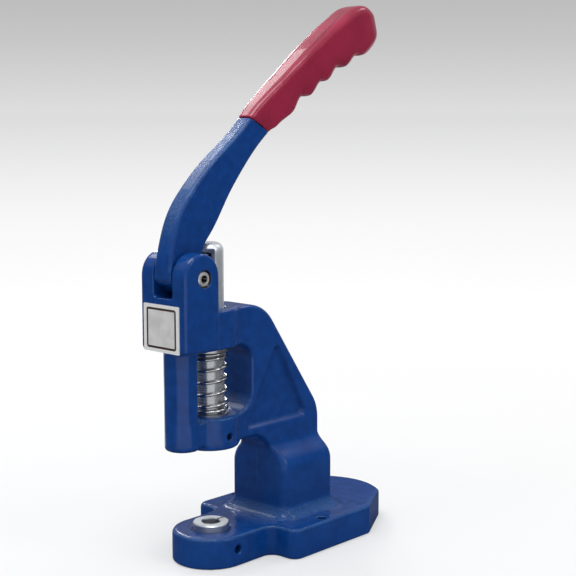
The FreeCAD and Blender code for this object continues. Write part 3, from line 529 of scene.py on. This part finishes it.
def turnedFace(name):
    # faced in a lathe: rings about the Z axis on flat faces, rings up the side of a wall
    material, paint = newMaterial(name)
    reach = paint.length(paint.place(scale=(1, 1, 0)))
    rings = paint.node("ShaderNodeTexNoise", {"noise_dimensions": "1D"},
                       {"W": reach * turnedMarks["rings"], "Scale": 1.0, "Detail": 2.0})
    stretch = (turnedMarks["spread"], turnedMarks["spread"], turnedMarks["wall"])
    wall = paint.noise(paint.place(scale=stretch), 1.0, detail=2)
    smear = paint.noise(paint.place(), turnedMarks["smears"], detail=3)
    shade = smeared(paint, smear, metals[name]["tone"], 0.84)
    rough = metals[name]["rough"] + rings * 0.12 + smear * 0.08
    normal = paint.bump(rings * 0.6 + wall * 0.4, turnedMarks["bump"], turnedMarks["depth"] * mm)
    paint.finish(paint.shades({
        "Base Color": shade, "Metallic": 1.0, "Roughness": rough, "Normal": normal}))
    return material


def platedMetal(name, speck=0.3):
    material, paint = newMaterial(name)
    where = paint.place()
    cloud = paint.noise(where, platedMarks["clouds"], detail=4)
    fine = paint.noise(where, platedMarks["fine"], detail=2)
    shade = smeared(paint, cloud, metals[name]["tone"], 0.8)
    rough = metals[name]["rough"] + cloud * 0.15
    normal = paint.bump(fine * speck + cloud * 0.5, platedMarks["bump"], platedMarks["depth"] * mm)
    paint.finish(paint.shades({
        "Base Color": shade, "Metallic": 1.0, "Roughness": rough, "Normal": normal}))
    return material


# the pin's plating tones; the socket's near black is painted shade
pinPlating = {"clouds": 300, "dull": (0.74, 0.74, 0.75, 1), "bright": (0.90, 0.90, 0.91, 1),
              "socketShade": (0.035, 0.034, 0.034, 1), "socketRadius": 2.75}


def pinFace():
    # plated pin: bright rim, its hexagon socket painted dark as the shade inside it
    material, paint = newMaterial("pinPlating")
    cloud = paint.noise(paint.place(), pinPlating["clouds"], detail=3)
    socket = besideAxis(paint, "fulcrum_pin", "x", pinPlating["socketRadius"])
    tone = paint.blend(cloud.fade(0.3, 0.7), pinPlating["dull"], pinPlating["bright"])
    tone = paint.blend(socket, tone, pinPlating["socketShade"])
    paint.finish(paint.shades({
        "Base Color": tone, "Metallic": 0.75 - socket * 0.4, "Roughness": 0.34 + cloud * 0.14,
        "Normal": paint.bump(cloud, 0.2, 0.08 * mm)}))
    return material


# the plate's border line, in millimetres: margins outside it, its width, and its outer corner's radius
plateBorder = {"sideMargin": 2.9, "endMargin": 2.3, "line": 1.5, "corner": 1.9, "soft": 0.06}
plateTone = {"dull": (0.60, 0.60, 0.59, 1), "field": (0.72, 0.72, 0.71, 1), "rim": (0.80, 0.80, 0.795, 1),
             "line": (0.040, 0.016, 0.010, 1)}


def plateMetal():
    # satin plate with one dark printed border line; the field stays bare
    material, paint = newMaterial("plateMetal")
    low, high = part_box("label_plate")
    middle = (low + high) / 2
    halfWidth = (high - low).x / 2 - plateBorder["sideMargin"] * mm
    halfHeight = (high - low).z / 2 - plateBorder["endMargin"] * mm
    where = paint.place(move=[-c for c in middle])
    across, upright = [paint.part(where, letter).absolute() for letter in "XZ"]
    corner, width, soft = [plateBorder[key] * mm for key in ("corner", "line", "soft")]
    beyondX = (across - (halfWidth - corner)).atLeast(0)
    beyondZ = (upright - (halfHeight - corner)).atLeast(0)
    outside = (beyondX * beyondX + beyondZ * beyondZ).power(0.5) - corner
    inside = (across - halfWidth).atLeast(upright - halfHeight)
    distance = outside.atLeast(inside)
    line = distance.fade(-width - soft, -width + soft) * (1 - distance.fade(-soft, soft))
    brush = paint.noise(paint.place(scale=(60, 60, 2600)), 1.0, detail=2)
    cloud = paint.noise(paint.place(), 120, detail=3)
    tone = paint.blend(cloud.fade(0.3, 0.7), plateTone["dull"], plateTone["field"])
    tone = paint.blend(distance.fade(-soft, soft), tone, plateTone["rim"])
    tone = paint.blend(line, tone, plateTone["line"])
    paint.finish(paint.shades({
        "Base Color": tone, "Metallic": 0.12 - line * 0.12, "Roughness": 0.36 + brush * 0.12,
        "Normal": paint.bump(brush, 0.12, 0.03 * mm)}))
    return material


def bakeModifiers(piece):
    shown = piece.evaluated_get(bpy.context.evaluated_depsgraph_get())
    mesh = bpy.data.meshes.new_from_object(shown)
    piece.modifiers.clear()
    piece.data = mesh


# the dipped grip is eased in its own plane (y, z), in millimetres. Each list gives the shift at places along
# the grip: "under" slides the finger grooves along it, "top" and "belly" move its two sides across it, and
# between the two distances of "middle" the under side goes over into the top
gripEase = {
    "start": (45.0, 302.0), "end": (155.0, 374.0), "middle": (2.0, 20.0),
    "under": [(0, 0.0), (52, -4.6), (120, -9.0), (155, -2.5)],
    "top": [(0, 0.0), (45, -2.4), (105, -2.6), (140, 0.0)],
    "belly": [(0, 0.0), (52, 0.5), (120, 2.4), (150, 0.0)],
}
# the round end: what stands out of this rounded form keeps only the share "give" of its overhang
gripBulb = {"centre": (0.0, 153.0, 373.4), "radii": (15.0, 22.8, 17.6), "radiusBelow": 20.5,
            "blend": 12.0, "give": 0.12}


def alongStops(stops, place):
    # the value at a place, eased between one stop and the next
    if place <= stops[0][0]:
        return stops[0][1]
    for (s0, v0), (s1, v1) in zip(stops, stops[1:]):
        if place <= s1:
            share = (place - s0) / (s1 - s0)
            return v0 + (v1 - v0) * share * share * (3 - 2 * share)
    return stops[-1][1]


def easedGrip(point):
    x, y, z = [c / mm for c in point]
    y0, z0 = gripEase["start"]
    alongY, alongZ, _ = heading(gripEase["start"], gripEase["end"])
    along = (y - y0) * alongY + (z - z0) * alongZ
    across = (z - z0) * alongY - (y - y0) * alongZ
    low, high = gripEase["middle"]
    upper = min(max((across - low) / (high - low), 0), 1)
    slide = alongStops(gripEase["under"], along) * (1 - upper)
    lift = alongStops(gripEase["top"], along) * upper
    lift += alongStops(gripEase["belly"], along) * (1 - upper)
    y += slide * alongY - lift * alongZ
    z += slide * alongZ + lift * alongY
    return Vector(roundedBulb(x, y, z)) * mm


def roundedBulb(x, y, z):
    cx, cy, cz = gripBulb["centre"]
    rx, ry, rz = gripBulb["radii"]
    if z < cz:
        rz = gripBulb["radiusBelow"]
    far = math.sqrt(((x - cx) / rx) ** 2 + ((y - cy) / ry) ** 2 + ((z - cz) / rz) ** 2)
    if y <= cy or far <= 1:
        return x, y, z
    full = min((y - cy) / gripBulb["blend"], 1)
    scale = 1 + full * ((1 + (far - 1) * gripBulb["give"]) / far - 1)
    return cx + (x - cx) * scale, cy + (y - cy) * scale, cz + (z - cz) * scale


# each casting's skin: voxel size in millimetres, and how often and how strongly it is smoothed
castings = {
    "castFrame": {"node": "frame_casting", "body": "frame", "slot": "frame_paint",
                  "grid": 1.06, "ease": 0.5, "passes": 1},
    "castLever": {"node": "lever_arm", "body": "lever", "slot": "lever_paint",
                  "grid": 0.6, "ease": 0.5, "passes": 3},
    "dippedGrip": {"node": "handle_grip", "body": "lever", "slot": "grip_vinyl",
                   "grid": 0.8, "ease": 0.5, "passes": 36},
}
weldGap = 0.005        # millimetres between corners that are one


def makeCasting(name, material, reshape=None):
    # a casting or a dip has no sharp edge anywhere, so its corners are eased and its inner corners filled
    form = castings[name]
    mesh = nodes[form["node"]].data.copy()
    bm = bmesh.new()
    bm.from_mesh(mesh)
    bmesh.ops.remove_doubles(bm, verts=bm.verts, dist=weldGap * mm)
    bm.to_mesh(mesh)
    bm.free()
    piece = linked(name, mesh)
    skin = piece.modifiers.new("skin", "REMESH")
    skin.mode = "VOXEL"
    skin.voxel_size = form["grid"] * mm
    skin.use_smooth_shade = True
    if reshape:
        bakeModifiers(piece)
        for vertex in piece.data.vertices:
            vertex.co = reshape(vertex.co)
    ease = piece.modifiers.new("ease", "SMOOTH")
    ease.factor = form["ease"]
    ease.iterations = form["passes"]
    bakeModifiers(piece)
    piece.data.materials.clear()
    piece.data.materials.append(material)
    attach(piece, form["body"])
    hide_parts(form["node"])
    print("casting", name, len(piece.data.polygons), "faces")


def makeSpring(material):
    # the return spring, on its own copy of the CAD mesh; the share of its height it would keep at full
    # stroke is printed
    piece = linked("coilSpring", nodes["return_spring"].data.copy())
    piece.data.materials.clear()
    piece.data.materials.append(material)
    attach(piece, "frame")
    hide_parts("return_spring")
    low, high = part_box("return_spring")
    stroke = next(joint["range_m"][1] for joint in frame["joints"] if joint["name"] == "ram_slide")
    keep = 1 - stroke / (high - low).z
    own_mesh(piece)
    print("spring keeps", round(keep, 3), "of its height")


def dress(names, material):
    for name in names:
        nodes[name].data.materials.clear()
        nodes[name].data.materials.append(material)


makeCamera()
makeWorld()
makeLamps()
makeFloor()
makeCards()
print("studio ready")

framePaint = castEnamel("framePaint")
leverPaint = castEnamel("leverPaint")
makeCasting("castFrame", framePaint)
makeCasting("castLever", leverPaint)
makeCasting("dippedGrip", vinylSkin(), easedGrip)

dress(["ram"], groundSteel("ramSteel", "z", shadedBelow=160, metallic=0.72))
makeSpring(platedMetal("springSteel", speck=0.2))
dress(["fulcrum_pin"], pinFace())
dress(["roller_pin", "roller"], groundSteel("pinSteel", "x"))
dress(["die_bushing"], turnedFace("bushingSteel"))
dress(["fulcrum_washer", "fulcrum_lock_nut", "spring_collar", "spring_seat_washer"],
      platedMetal("zincSteel"))
dress(["thrust_washers", "lever_pivot_bush", "roller_bush", "upper_ram_bush", "lower_ram_bush"],
      platedMetal("bearingBronze"))
dress(["collar_ring", "ram_guide_screw", "die_clamp_screw"], platedMetal("blackSteel"))
dress(["label_plate"], plateMetal())
print("finishes ready")
